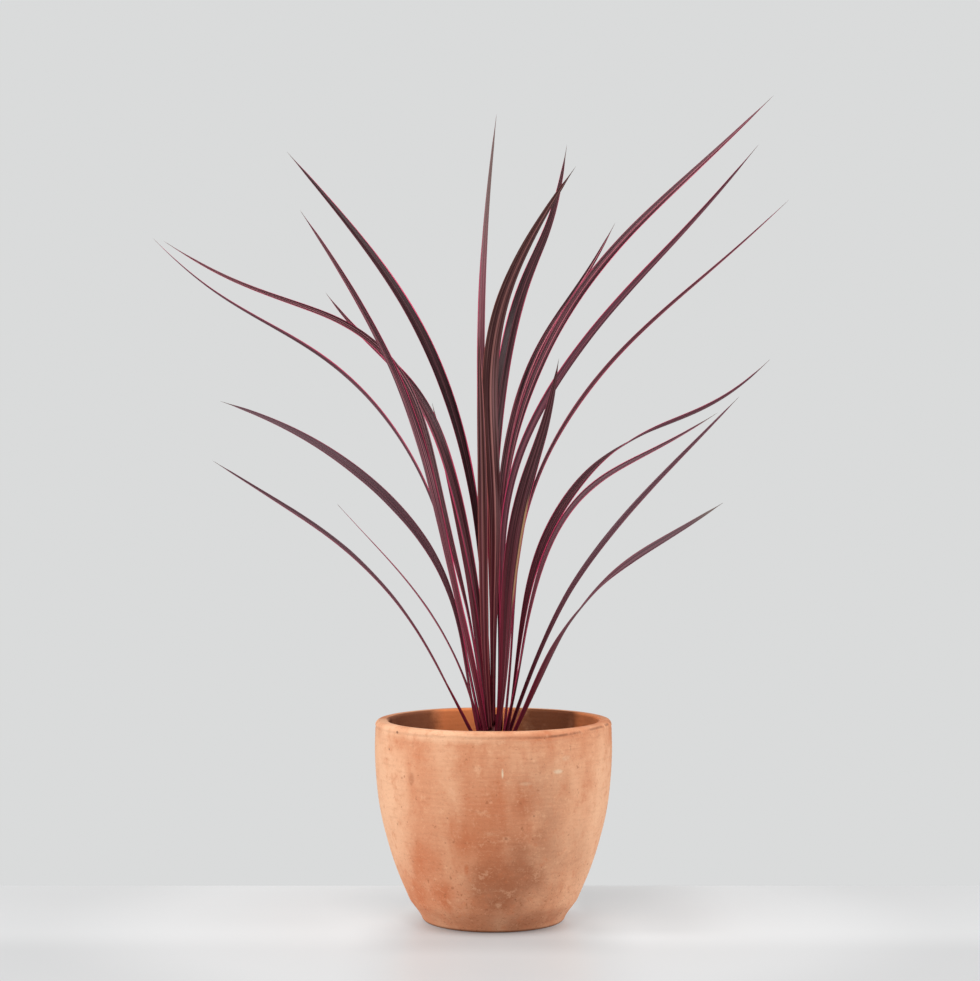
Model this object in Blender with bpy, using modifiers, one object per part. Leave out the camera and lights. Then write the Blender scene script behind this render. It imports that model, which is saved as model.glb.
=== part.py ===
"""A red strap-leaved cordyline in a plain terracotta pot.

Metres, +Z up. The origin is the middle of the pot's flat base. +X is the plant's right, +Y its back.
"""

import math
from collections import namedtuple

import bmesh
import bpy
from mathutils import Vector, noise

for old in list(bpy.data.objects):
    bpy.data.objects.remove(old, do_unlink=True)

MM = 0.001

# Pot: turned terracotta, widest a little under its rounded lip.
POT_HEIGHT = 199 * MM
POT_WALL = 13 * MM
POT_FLOOR = 15 * MM
FLOOR_CORNER = 10 * MM
LIP_ROUND = 4.5 * MM
LIP_INNER_ROUND = 2.5 * MM
BASE_CHAMFER = 1.5 * MM
# Radius and height of the outer side, from the base up to where the lip starts to round.
POT_SIDE = ((71, 1.5), (84, 21), (97, 52), (107, 84), (113.5, 112), (117, 140), (118.5, 168), (118, 194.5))
# Heights in mm of the rings of the outer side, of the inside that the soil fills, and of the inside over it.
OUTER_RINGS = (182, 168, 150, 132, 114, 96, 78, 62, 46, 32, 20, 10)
FILLED_RINGS = (50, 80, 110, 140)
OPEN_RINGS = (160, 180)
POT_SEGMENTS = 48
CORNER_STEPS = 3
LIP_STEPS = 4

# Soil: fills the pot to 37 mm under the rim, with a plain hole for the stem.
SOIL_TOP = 162 * MM
SOIL_BOTTOM = POT_FLOOR + 0.4 * MM
SOIL_GAP = 0.6 * MM
SOIL_CORNER = 11 * MM
SOIL_RINGS = 9
SOIL_RING_CROWDING = 0.8
# Relief of its top: raised and hollowed outside the calm radius. Vertices within LEVEL_WITHIN are the top's.
SOIL_RELIEF = 3 * MM
SOIL_CALM_RADIUS = 22 * MM
LEVEL_WITHIN = 0.1 * MM
LUMP_SIZE = 16 * MM
LUMP_FALLOFF = 0.8
LUMP_FINENESS = 2.0
LUMP_OCTAVES = 3

# Stem: short and woody, standing in the hole and tapering up between the leaf bases.
STEM_RADIUS = 12.6 * MM
STEM_TIP_RADIUS = 3 * MM
STEM_TAPER_START = 162 * MM
STEM_TOP = 204 * MM
STEM_SINK = 40 * MM
STEM_GAP = 0.4 * MM
STEM_SEGMENTS = 24

# Leaves: a shallow gutter in section, clasping the stem at the foot and drawn out to a thin tip.
BLADE_THICKNESS = 0.9 * MM
BLADE_ROWS = 22
FOOT_WIDTH = 3.75 * MM
FOOT_WIDTH_PER_STEM_RADIUS = 0.33
TIP_WIDTH = 1.4 * MM
WIDEST_AT = 0.55
TIP_DRAW = 1.7
FOOT_FOLD = 38
BLADE_FOLD = 13
FOLD_OPENS_BY = 0.3
TURN_DONE_BY = 0.3
FIRST_FOOT = 163.5 * MM
FOOT_STEP = 1.6 * MM
FOOT_GAP = 0.35 * MM

# One row a leaf, from the lowest and outermost up to the innermost. Angles are in degrees, sizes in mm.
# seat: side of the stem that the foot clasps. heading: side that the blade leans to, 0 right and 90 back.
# leans: angle off the vertical at the foot, quarter, half, three quarters and tip.
# rolls: turn of the blade about its own midrib at the quarter, half, three quarters and tip.
Leaf = namedtuple("Leaf", "seat heading length leans rolls width tone")
LEAVES = (
    Leaf(212, 200, 410, (29, 29, 43, 57, 58), (-20, -30, -40, -40), 10, "maroon"),
    Leaf(332, 334, 350, (27, 26, 42, 59, 58), (-25, 20, 60, 70), 11, "mauve"),
    Leaf(156, 170, 295, (8, 21, 34, 43, 43), (0, 5, 10, 10), 7, "mauve"),
    Leaf(28, 4, 435, (21, 23, 37, 44, 44), (25, 35, 35, 35), 9, "maroon"),
    Leaf(188, 188, 465, (12, 11, 38, 57, 72), (-25, -55, -65, -60), 12, "maroon"),
    Leaf(2, 12, 520, (9, 9, 36, 68, 46), (25, 40, -30, -45), 12, "maroon"),
    Leaf(240, 222, 572, (20, 17, 19, 34, 42), (-10, -15, -10, 0), 20, "mauve"),
    Leaf(328, 352, 420, (16, 10, 25, 61, 57), (20, 35, 40, 35), 11, "maroon"),
    Leaf(285, 296, 405, (26, 7, 18, 35, 18), (0, 0, 0, 0), 18, "maroon"),
    Leaf(165, 168, 657, (13, 11, 36, 61, 45), (20, 30, 30, 25), 10, "mauve"),
    Leaf(350, 350, 635, (6, 5, 31, 49, 47), (20, 30, 30, 30), 11, "mauve"),
    Leaf(215, 204, 642, (6, 15, 19, 72, 59), (-50, -60, -40, -45), 14, "maroon"),
    Leaf(108, 112, 383, (30, 18, 27, 33, 30), (0, 0, 0, 0), 9, "maroon"),
    Leaf(312, 328, 669, (4, 1, 33, 48, 44), (-15, -20, -20, -20), 11, "mauve"),
    Leaf(137, 129, 576, (1, 14, 28, 58, 50), (0, -15, -15, -10), 13, "maroon"),
    Leaf(354, 14, 752, (0, 2, 25, 46, 46), (0, 30, 45, 40), 13, "maroon"),
    Leaf(242, 264, 400, (8, 10, 6, 12, 17), (0, 0, 0, 0), 10, "olive"),
    Leaf(187, 152, 665, (0, 5, 21, 39, 44), (-10, -35, -40, -35), 13, "maroon"),
    Leaf(48, 53, 597, (5, -1, 20, 46, 40), (0, 0, 0, 0), 14, "maroon"),
    Leaf(268, 297, 612, (4, 3, -5, 45, 60), (0, 0, 0, 0), 18, "olive"),
    Leaf(92, 71, 708, (0, -1, 25, 51, 25), (0, 0, 0, 0), 15, "maroon"),
    Leaf(143, 124, 524, (3, 4, 1, -1, -12), (0, 0, 0, 0), 5, "maroon"),
    Leaf(222, 185, 606, (1, 2, 1, -3, -7), (-45, -65, -70, -60), 9, "mauve"),
)

TONES = {
    "maroon": (0.055, 0.017, 0.021),
    "mauve": (0.12, 0.045, 0.06),
    "olive": (0.09, 0.05, 0.028),
}
LEAF_ROUGHNESS = 0.45
TERRACOTTA = (0.62, 0.29, 0.15)
TERRACOTTA_ROUGHNESS = 0.85
SOIL_BROWN = (0.045, 0.027, 0.017)
SOIL_ROUGHNESS = 0.95
STEM_BROWN = (0.12, 0.06, 0.04)
STEM_ROUGHNESS = 0.8


def material(name, colour, roughness):
    """A plain Principled material."""
    made = bpy.data.materials.new(name)
    made.use_nodes = True
    surface = made.node_tree.nodes["Principled BSDF"]
    surface.inputs["Base Color"].default_value = (*colour, 1)
    surface.inputs["Roughness"].default_value = roughness
    surface.inputs["Metallic"].default_value = 0
    return made


def spread(stations, share):
    """The smooth value at a share of the way along evenly spaced stations."""
    last = len(stations) - 1
    place = min(max(share, 0), 1) * last
    i = min(int(place), last - 1)
    f = place - i
    before, start, end, after = (stations[min(max(i + k, 0), last)] for k in (-1, 0, 1, 2))
    leaving = (end - before) / 2
    arriving = (after - start) / 2
    return (
        (2 * f**3 - 3 * f**2 + 1) * start
        + (f**3 - 2 * f**2 + f) * leaving
        + (3 * f**2 - 2 * f**3) * end
        + (f**3 - f**2) * arriving
    )


def ease(share):
    """0 to 1 with a soft start and a soft end."""
    share = min(max(share, 0), 1)
    return share * share * (3 - 2 * share)


def blend(start, end, share):
    """The value at a share of the straight way from start to end."""
    return start + (end - start) * share


def arc(centre, radius, start, end, steps):
    """Points (radius, height) of an arc, with its angles in degrees from +X."""
    angles = (math.radians(blend(start, end, k / steps)) for k in range(steps + 1))
    return [(centre[0] + radius * math.cos(a), centre[1] + radius * math.sin(a)) for a in angles]


def side_radius(height):
    """Radius of the pot's outer side at a height, from the measured stations."""
    heights = [z * MM for _, z in POT_SIDE]
    i = max(k for k in range(len(heights) - 1) if heights[k] <= height or k == 0)
    place = i + (height - heights[i]) / (heights[i + 1] - heights[i])
    return spread([r * MM for r, _ in POT_SIDE], place / (len(POT_SIDE) - 1))


def wall_radius(height):
    """Radius of the pot's inside at a height."""
    return side_radius(height) - POT_WALL


def turned(name, profile, segments, collection):
    """A solid of revolution: the profile turned about Z and shaded smooth."""
    mesh = bpy.data.meshes.new(name)
    edges = [(k, k + 1) for k in range(len(profile) - 1)]
    mesh.from_pydata([(r, 0, z) for r, z in profile], edges, [])
    made = bpy.data.objects.new(name, mesh)
    collection.objects.link(made)
    screw = made.modifiers.new("Turn", "SCREW")
    screw.steps = segments
    screw.render_steps = segments
    screw.use_merge_vertices = True
    screw.merge_threshold = 1e-5
    screw.use_smooth_shade = True
    return made


def pot_profile():
    """Inner floor, inner wall, lip, outer side and base, from the axis back to the axis."""
    inner_top = POT_HEIGHT - LIP_INNER_ROUND
    inner_rim = wall_radius(inner_top)
    outer_rim = side_radius(POT_HEIGHT - LIP_ROUND)
    base_radius = side_radius(BASE_CHAMFER)
    corner_height = POT_FLOOR + FLOOR_CORNER
    corner = (wall_radius(corner_height) - FLOOR_CORNER, corner_height)
    points = [(0, POT_FLOOR)]
    points += arc(corner, FLOOR_CORNER, 270, 360, CORNER_STEPS)
    points += [(wall_radius(z * MM), z * MM) for z in FILLED_RINGS + OPEN_RINGS]
    points += arc((inner_rim + LIP_INNER_ROUND, inner_top), LIP_INNER_ROUND, 180, 90, CORNER_STEPS)
    points += arc((outer_rim - LIP_ROUND, POT_HEIGHT - LIP_ROUND), LIP_ROUND, 90, 0, LIP_STEPS)
    points += [(side_radius(z * MM), z * MM) for z in OUTER_RINGS]
    points += [(base_radius, BASE_CHAMFER), (base_radius - BASE_CHAMFER, 0), (0, 0)]
    return points


def soil_profile():
    """Floor of the stem's hole, hole wall, soil top, then down the pot's inside to the bottom."""
    hole_radius = STEM_RADIUS + STEM_GAP
    hole_bottom = SOIL_TOP - STEM_SINK - STEM_GAP
    edge = wall_radius(SOIL_TOP) - SOIL_GAP
    corner_height = SOIL_BOTTOM + SOIL_CORNER
    corner = (wall_radius(corner_height) - SOIL_GAP - SOIL_CORNER, corner_height)
    shares = ((k / SOIL_RINGS) ** SOIL_RING_CROWDING for k in range(SOIL_RINGS + 1))
    points = [(0, hole_bottom), (hole_radius, hole_bottom)]
    points += [(blend(hole_radius, edge, share), SOIL_TOP) for share in shares]
    points += [(wall_radius(z * MM) - SOIL_GAP, z * MM) for z in reversed(FILLED_RINGS)]
    points += arc(corner, SOIL_CORNER, 0, -90, CORNER_STEPS)
    points += [(0, SOIL_BOTTOM)]
    return points


def make_soil(collection):
    """Turned fill whose top is raised and hollowed like loose potting mix."""
    soil = turned("soil", soil_profile(), POT_SEGMENTS, collection)
    soil.data = flattened(soil)
    soil.modifiers.clear()
    edge = wall_radius(SOIL_TOP)
    for vertex in soil.data.vertices:
        radius = vertex.co.xy.length
        if abs(vertex.co.z - SOIL_TOP) > LEVEL_WITHIN or radius > edge:
            continue
        height = noise.fractal(vertex.co / LUMP_SIZE, LUMP_FALLOFF, LUMP_FINENESS, LUMP_OCTAVES)
        vertex.co.z += SOIL_RELIEF * height * ease((radius - SOIL_CALM_RADIUS) / SOIL_CALM_RADIUS)
    return soil


def flattened(made):
    """The object's mesh with its modifiers applied."""
    graph = bpy.context.evaluated_depsgraph_get()
    graph.update()
    return bpy.data.meshes.new_from_object(made.evaluated_get(graph))


def stem_radius(height):
    """Radius of the tapering part of the stem."""
    share = (height - STEM_TAPER_START) / (STEM_TOP - STEM_TAPER_START)
    return blend(STEM_RADIUS, STEM_TIP_RADIUS, min(max(share, 0), 1))


def stem_profile():
    """Tip, tapering side and straight buried part, from the axis down to the axis."""
    foot = SOIL_TOP - STEM_SINK
    taper = [(STEM_TIP_RADIUS, STEM_TOP), (STEM_RADIUS, STEM_TAPER_START)]
    return [(0, STEM_TOP), *taper, (STEM_RADIUS, foot), (0, foot)]


def blade_width(share, foot, widest):
    """Width of a blade: narrow at the foot, widest past the middle, drawn out to the tip."""
    opened = blend(foot, widest, ease(share / WIDEST_AT))
    closing = max(share - WIDEST_AT, 0) / (1 - WIDEST_AT)
    return blend(opened, TIP_WIDTH, closing**TIP_DRAW)


def direction(leaf, share):
    """Where the midrib points at a share of the blade's length, as (along, level, upper) vectors."""
    turn = math.radians((leaf.heading - leaf.seat) * ease(share / TURN_DONE_BY))
    lean = math.radians(spread(leaf.leans, share))
    along = Vector((math.sin(lean) * math.cos(turn), math.sin(lean) * math.sin(turn), math.cos(lean)))
    level = Vector((-math.sin(turn), math.cos(turn), 0))
    return along, level, along.cross(level)


def foot_place(rank, leaf):
    """(reach, height, width) of a leaf's foot, whose folded edges clasp the stem with a small gap."""
    height = FIRST_FOOT + rank * FOOT_STEP
    width = FOOT_WIDTH + FOOT_WIDTH_PER_STEM_RADIUS * stem_radius(height)
    fold = math.radians(FOOT_FOLD)
    lean = math.radians(leaf.leans[0])
    inward = width / 2 * math.sin(fold) * math.cos(lean)
    rise = width / 2 * math.sin(fold) * math.sin(lean)
    aside = width / 2 * math.cos(fold)
    clear = stem_radius(height + rise) + BLADE_THICKNESS / 2 + FOOT_GAP
    return inward + math.sqrt(clear**2 - aside**2), height, width


def blade_points(leaf, foot):
    """Rows of (edge, midrib, edge) points, with the foot at the origin and its seat towards +X."""
    step = leaf.length * MM / BLADE_ROWS
    here = Vector((0, 0, 0))
    rows = []
    for row in range(BLADE_ROWS + 1):
        share = row / BLADE_ROWS
        _, level, upper = direction(leaf, share)
        roll = math.radians(spread((0, *leaf.rolls), share))
        fold = math.radians(blend(FOOT_FOLD, BLADE_FOLD, ease(share / FOLD_OPENS_BY)))
        side = math.cos(roll) * level + math.sin(roll) * upper
        face = math.cos(roll) * upper - math.sin(roll) * level
        half = blade_width(share, foot, leaf.width * MM) / 2
        out = side * half * math.cos(fold)
        raised = face * half * math.sin(fold)
        rows.append((here + out + raised, here.copy(), here - out + raised))
        along, _, _ = direction(leaf, share + 0.5 / BLADE_ROWS)
        here += along * step
    return rows


def make_leaf(name, rank, leaf, collection, materials):
    """One blade: a folded strip in triangles, given its thickness."""
    reach, height, foot = foot_place(rank, leaf)
    sheet = bmesh.new()
    rows = [[sheet.verts.new(point) for point in row] for row in blade_points(leaf, foot)]
    for lower, upper in zip(rows, rows[1:]):
        for k in (0, 1):
            sheet.faces.new((lower[k], lower[k + 1], upper[k + 1]))
            sheet.faces.new((lower[k], upper[k + 1], upper[k]))
    mesh = bpy.data.meshes.new(name)
    sheet.to_mesh(mesh)
    sheet.free()
    mesh.shade_smooth()
    made = bpy.data.objects.new(name, mesh)
    collection.objects.link(made)
    seat = math.radians(leaf.seat)
    made.location = (reach * math.cos(seat), reach * math.sin(seat), height)
    made.rotation_euler.z = seat
    thickness = made.modifiers.new("Thickness", "SOLIDIFY")
    thickness.thickness = BLADE_THICKNESS
    thickness.offset = 0
    mesh.materials.append(materials[leaf.tone])
    return made


def build():
    """The pot, its soil, the stem and its leaves, all parented to one empty."""
    parts = bpy.data.collections.new("potted_cordyline")
    bpy.context.scene.collection.children.link(parts)

    pot = turned("pot", pot_profile(), POT_SEGMENTS, parts)
    pot.data.materials.append(material("terracotta", TERRACOTTA, TERRACOTTA_ROUGHNESS))
    soil = make_soil(parts)
    soil.data.materials.append(material("potting_soil", SOIL_BROWN, SOIL_ROUGHNESS))
    stem = turned("stem", stem_profile(), STEM_SEGMENTS, parts)
    stem.data.materials.append(material("stem_bark", STEM_BROWN, STEM_ROUGHNESS))
    tones = {tone: material("leaf_" + tone, colour, LEAF_ROUGHNESS) for tone, colour in TONES.items()}
    leaves = [
        make_leaf(f"leaf_{rank + 1:02d}", rank, leaf, parts, tones)
        for rank, leaf in enumerate(LEAVES)
    ]

    root = bpy.data.objects.new("cordyline", None)
    parts.objects.link(root)
    for piece in (pot, soil, stem, *leaves):
        piece.parent = root


build()
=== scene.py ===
"""A potted cordyline: a red strap-leaved plant in a plain terracotta pot, in a light studio."""

import math
from collections import namedtuple

import bpy
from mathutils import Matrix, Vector, noise


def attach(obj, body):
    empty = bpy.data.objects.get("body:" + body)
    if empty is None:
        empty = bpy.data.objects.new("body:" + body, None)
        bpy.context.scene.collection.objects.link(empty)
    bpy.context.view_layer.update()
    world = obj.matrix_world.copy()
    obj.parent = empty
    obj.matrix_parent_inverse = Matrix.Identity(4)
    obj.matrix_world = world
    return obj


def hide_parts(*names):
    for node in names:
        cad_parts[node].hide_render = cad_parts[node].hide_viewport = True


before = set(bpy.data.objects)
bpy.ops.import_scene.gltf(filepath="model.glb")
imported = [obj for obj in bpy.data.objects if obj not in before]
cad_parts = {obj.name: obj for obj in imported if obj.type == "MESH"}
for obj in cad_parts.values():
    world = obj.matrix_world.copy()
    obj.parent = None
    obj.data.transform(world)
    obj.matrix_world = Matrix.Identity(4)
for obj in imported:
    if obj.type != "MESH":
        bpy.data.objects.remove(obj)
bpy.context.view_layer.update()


# The studio: a level camera at the height of the leaf bundle, a pale satin table that ends a little
# behind the pot, a light grey backdrop all round, and soft lights on both sides and overhead.

HORIZON = 0.4275
CAMERA_AWAY = 2.1
CAMERA_ASIDE = -0.0035
IMAGE_WIDTH = 980
FOCAL_PIXELS = 2100
SENSOR_MM = 36
TABLE_BACK = 0.176
TABLE_FRONT = -1.6
TABLE_HALF = 2.4
TABLE_THICK = 0.03
TABLE_ROUND = 0.004
BACKDROP_GREY = (0.70, 0.708, 0.708, 1)
FILL_SHARE = 0.52
# Each softbox: name, place, what it points at, width, height and watts.
SOFTBOXES = (
    ("left_softbox", (-2.0, -0.9, 1.0), (0, 0, 0.3), 1.4, 1.8, 33),
    ("right_softbox", (2.1, -0.5, 0.9), (0, 0, 0.3), 1.2, 1.6, 25),
    ("top_softbox", (0.0, -0.75, 2.1), (0, 0.05, 0.2), 0.9, 0.9, 22),
)
TABLE_GREY = (0.42, 0.425, 0.43, 1)
TABLE_GREY_PALE = (0.45, 0.452, 0.455, 1)
GLOW = 0.42
GLOW_UNDER_POT = 0.26
GLOW_TINT = (0.95, 1.0, 1.02, 1)
WHITE = (1, 1, 1, 1)


def feed(tree, socket, value):
    """Links another socket to this one, or gives this one a plain value."""
    if isinstance(value, bpy.types.NodeSocket):
        tree.links.new(value, socket)
    else:
        socket.default_value = value


def node(tree, kind, inputs=None, **settings):
    """A node with its settings, and with each named input fed by a value or by another socket."""
    made = tree.nodes.new(kind)
    for name, value in settings.items():
        setattr(made, name, value)
    for name, value in (inputs or {}).items():
        feed(tree, next(s for s in made.inputs if s.name == name and s.enabled), value)
    return made


def maths(tree, operation, *values):
    """The output of a Math node fed by numbers or sockets."""
    made = tree.nodes.new("ShaderNodeMath")
    made.operation = operation
    for socket, value in zip(made.inputs, values):
        feed(tree, socket, value)
    return made.outputs[0]


def times(tree, total, *factors):
    """A number or socket times each of the factors."""
    for factor in factors:
        total = maths(tree, "MULTIPLY", total, factor)
    return total


def minus(tree, total, *parts):
    """A number or socket less each of the parts."""
    for part in parts:
        total = maths(tree, "SUBTRACT", total, part)
    return total


def length_of(tree, vector):
    """How long a vector is."""
    made = node(tree, "ShaderNodeVectorMath", {"Vector": vector}, operation="LENGTH")
    return made.outputs["Value"]


def ramp(tree, value, start, end, low=0.0, high=1.0):
    """A soft step from low at start to high at end, which may all vary."""
    made = node(
        tree,
        "ShaderNodeMapRange",
        {"Value": value, "From Min": start, "From Max": end, "To Min": low, "To Max": high},
        interpolation_type="SMOOTHSTEP",
    )
    return made.outputs["Result"]


def tinted(tree, share, first, second, blend_type="MIX"):
    """Colour first, turned into colour second by a share that may vary."""
    made = tree.nodes.new("ShaderNodeMix")
    made.data_type = "RGBA"
    made.blend_type = blend_type
    made.clamp_factor = True
    # The node has sockets for every kind of data: 0, 6 and 7 go in and 2 comes out for colours.
    for index, value in ((0, share), (6, first), (7, second)):
        feed(tree, made.inputs[index], value)
    return made.outputs[2]


def srgb(red, green, blue):
    """A linear colour from the 0 to 255 values of a paint chart."""
    channels = (red, green, blue)
    return (*(((c / 255 + 0.055) / 1.055) ** 2.4 if c > 10 else c / 3295 for c in channels), 1)


def new_material(name):
    """A node material: its tree, its Principled shader and its Object coordinates."""
    made = bpy.data.materials.new(name)
    made.use_nodes = True
    tree = made.node_tree
    place = tree.nodes.new("ShaderNodeTexCoord").outputs["Object"]
    return made, tree, tree.nodes["Principled BSDF"], place


def bumped(tree, surface, height, strength, distance):
    """Gives the surface a fine relief, from a height that varies over it."""
    bump = node(
        tree, "ShaderNodeBump", {"Height": height, "Strength": strength, "Distance": distance}
    )
    tree.links.new(bump.outputs["Normal"], surface.inputs["Normal"])


def placed_mesh(name, points, faces):
    """A smooth mesh object at the origin, linked into the scene."""
    mesh = bpy.data.meshes.new(name)
    mesh.from_pydata(points, [], faces)
    mesh.update()
    mesh.shade_smooth()
    made = bpy.data.objects.new(name, mesh)
    bpy.context.scene.collection.objects.link(made)
    return made


camera_data = bpy.data.cameras.new("camera")
camera_data.sensor_fit = "HORIZONTAL"
camera_data.sensor_width = SENSOR_MM
camera_data.lens = FOCAL_PIXELS / IMAGE_WIDTH * SENSOR_MM
camera = bpy.data.objects.new("camera", camera_data)
camera.location = (CAMERA_ASIDE, -CAMERA_AWAY, HORIZON)
camera.rotation_euler = (math.radians(90), 0, 0)
bpy.context.scene.collection.objects.link(camera)
bpy.context.scene.camera = camera
bpy.context.scene.view_settings.view_transform = "Standard"

world = bpy.data.worlds.new("studio")
bpy.context.scene.world = world
world.use_nodes = True
sky = world.node_tree.nodes["Background"]
sky.inputs["Color"].default_value = BACKDROP_GREY
seen = world.node_tree.nodes.new("ShaderNodeLightPath").outputs["Is Camera Ray"]
world.node_tree.links.new(
    ramp(world.node_tree, seen, 0, 1, FILL_SHARE, 1.0), sky.inputs["Strength"]
)


def soft_light(name, place, aim, width, height, watts):
    """A large rectangular softbox that points at a place."""
    data = bpy.data.lights.new(name, "AREA")
    data.shape = "RECTANGLE"
    data.size = width
    data.size_y = height
    data.energy = watts
    lamp = bpy.data.objects.new(name, data)
    lamp.location = place
    lamp.rotation_euler = (Vector(aim) - Vector(place)).to_track_quat("-Z", "Y").to_euler()
    lamp.visible_camera = False
    bpy.context.scene.collection.objects.link(lamp)


for softbox in SOFTBOXES:
    soft_light(*softbox)

table_points = []
for side in (-TABLE_HALF, TABLE_HALF):
    table_points += [
        (side, TABLE_FRONT, -TABLE_THICK),
        (side, TABLE_FRONT, 0),
        (side, TABLE_BACK - TABLE_ROUND, 0),
        (side, TABLE_BACK - TABLE_ROUND * 0.3, -TABLE_ROUND * 0.3),
        (side, TABLE_BACK, -TABLE_ROUND),
        (side, TABLE_BACK, -TABLE_THICK),
    ]
count = len(table_points) // 2
table_faces = [(k, k + count, (k + 1) % count + count, (k + 1) % count) for k in range(count)]
table_faces += [tuple(reversed(range(count))), tuple(range(count, 2 * count))]
table = placed_mesh("table", table_points, table_faces)
table.data.shade_flat()
table_finish, tree, surface, place = new_material("satin_table")
table_cloud = node(tree, "ShaderNodeTexNoise", {"Vector": place, "Scale": 3.0, "Detail": 2.0})
clouded = tinted(tree, table_cloud.outputs["Fac"], TABLE_GREY, TABLE_GREY_PALE)
tree.links.new(clouded, surface.inputs["Base Color"])
# A bright table seen at a flat angle, lit with painted light: a glow of its own, held back as
# painted shade round the foot of the pot, as a painted reflection of the pot in front of it and as
# the pot's painted soft shadow at its right, and fading further from the pot and towards the front.
# Close to the pot the painted glow is a little bluer, against the orange the pot throws on it.
from_pot = length_of(tree, place)
apart = node(tree, "ShaderNodeSeparateXYZ", {"Vector": place}).outputs
# Painted reflection of the pot, darker in the table in front of it.
painted_reflection = ramp(tree, apart["Y"], 0, -0.08, 0, 0.26)
painted_reflection = minus(tree, painted_reflection, ramp(tree, apart["Y"], -0.1, -0.18, 0, 0.17))
beside = maths(tree, "ABSOLUTE", apart["X"])
painted_reflection = times(tree, painted_reflection, ramp(tree, beside, 0.15, 0.05))
# Painted soft shadow of the pot, at its right.
painted_shadow = times(
    tree,
    ramp(tree, apart["X"], 0.07, 0.1, 0, 0.08),
    ramp(tree, apart["X"], 0.26, 0.15),
    ramp(tree, apart["Y"], -0.1, -0.05),
)
glow = minus(
    tree,
    ramp(tree, from_pot, 0.06, 0.1, GLOW_UNDER_POT, GLOW),
    ramp(tree, from_pot, 0.1, 0.2, 0, 0.05),
    ramp(tree, from_pot, 0.3, 0.46, 0, 0.08),
    ramp(tree, apart["Y"], -0.06, -0.16, 0, 0.08),
    painted_reflection,
    painted_shadow,
)
glow_colour = tinted(tree, ramp(tree, from_pot, 0.09, 0.22), GLOW_TINT, WHITE)
tree.links.new(glow, surface.inputs["Emission Strength"])
tree.links.new(glow_colour, surface.inputs["Emission Color"])
surface.inputs["Roughness"].default_value = 0.35
surface.inputs["Specular IOR Level"].default_value = 0.1
table.data.materials.append(table_finish)


# The pot: coarse terracotta, thrown on a wheel and fired without glaze. The throwing leaves faint
# level ridges, the kiln leaves paler and redder clouds, and use has left chips, scuffs and specks.
# Some light and shade are painted on too: painted light along its edges and lip, painted shade low
# on the front, in the crease under the lip and along the foot, and painted light and shade inside.

MM = 0.001
POT_HEIGHT = 199 * MM
POT_WALL = 13 * MM
POT_FLOOR = 15 * MM
FLOOR_CORNER = 10 * MM
LIP_ROUND = 4.5 * MM
LIP_INNER_ROUND = 2.5 * MM
BASE_CHAMFER = 1.5 * MM
# Radius and height in mm of the outer side, from the base up to where the lip starts to round.
POT_SIDE = (
    (71, 1.5), (84, 21), (97, 52), (107, 84), (113.5, 112), (117, 140), (118.5, 168), (118, 194.5),
)
CENTRE_RING = 30 * MM
POT_TURNS = 240
RING_PITCH = 1.5 * MM
RIDGE_PITCH = 4.6 * MM
RIDGE_RELIEF = 0.09 * MM
WOBBLE_RELIEF = 0.35 * MM
CREASE_HEIGHT = 193.2 * MM
CREASE_CLIMB = 4.2 * MM
CREASE_DEPTH = 0.35 * MM
CREASE_HALF = 0.7 * MM
OUTER_SIDE_FROM = 110 * MM
# The relief starts softly over the foot. The ridges and all relief are full from these heights up.
RIDGES_FULL_AT = 20 * MM
RELIEF_FULL_AT = 12 * MM
LIP_ZONE = 185 * MM
LIP_WAVE = 0.3 * MM
# Chips in the lip: angle round the pot in degrees, size and depth in mm.
CHIPS = (
    (206, 2.6, 0.7), (217, 1.8, 0.6), (331, 2.2, 0.5),
    (92, 2.4, 0.6), (141, 1.7, 0.4), (268, 1.6, 0.3),
)
CHIP_HEIGHT = 196.5 * MM
CHIP_DROP = 0.6


def blend(start, end, share):
    """The value at a share of the straight way from start to end."""
    return start + (end - start) * share


def ease(share):
    """0 to 1 with a soft start and a soft end."""
    share = min(max(share, 0), 1)
    return share * share * (3 - 2 * share)


def spread(stations, share):
    """The smooth value at a share of the way along evenly spaced stations."""
    last = len(stations) - 1
    place = min(max(share, 0), 1) * last
    i = min(int(place), last - 1)
    f = place - i
    before, start, end, after = (stations[min(max(i + k, 0), last)] for k in (-1, 0, 1, 2))
    leaving = (end - before) / 2
    arriving = (after - start) / 2
    return (
        (2 * f**3 - 3 * f**2 + 1) * start
        + (f**3 - 2 * f**2 + f) * leaving
        + (3 * f**2 - 2 * f**3) * end
        + (f**3 - f**2) * arriving
    )


def arc(centre, radius, start, end, steps):
    """Points (radius, height) of an arc, with its angles in degrees from +X."""
    angles = (math.radians(blend(start, end, k / steps)) for k in range(steps + 1))
    return [(centre[0] + radius * math.cos(a), centre[1] + radius * math.sin(a)) for a in angles]


def side_radius(height):
    """Radius of the pot's outer side at a height."""
    heights = [z * MM for _, z in POT_SIDE]
    i = max(k for k in range(len(heights) - 1) if heights[k] <= height or k == 0)
    place = i + (height - heights[i]) / (heights[i + 1] - heights[i])
    return spread([r * MM for r, _ in POT_SIDE], place / (len(POT_SIDE) - 1))


def rings(low, high):
    """Evenly spaced heights from low up to high."""
    count = max(round((high - low) / RING_PITCH), 1)
    return [blend(low, high, k / count) for k in range(count + 1)]


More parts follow.
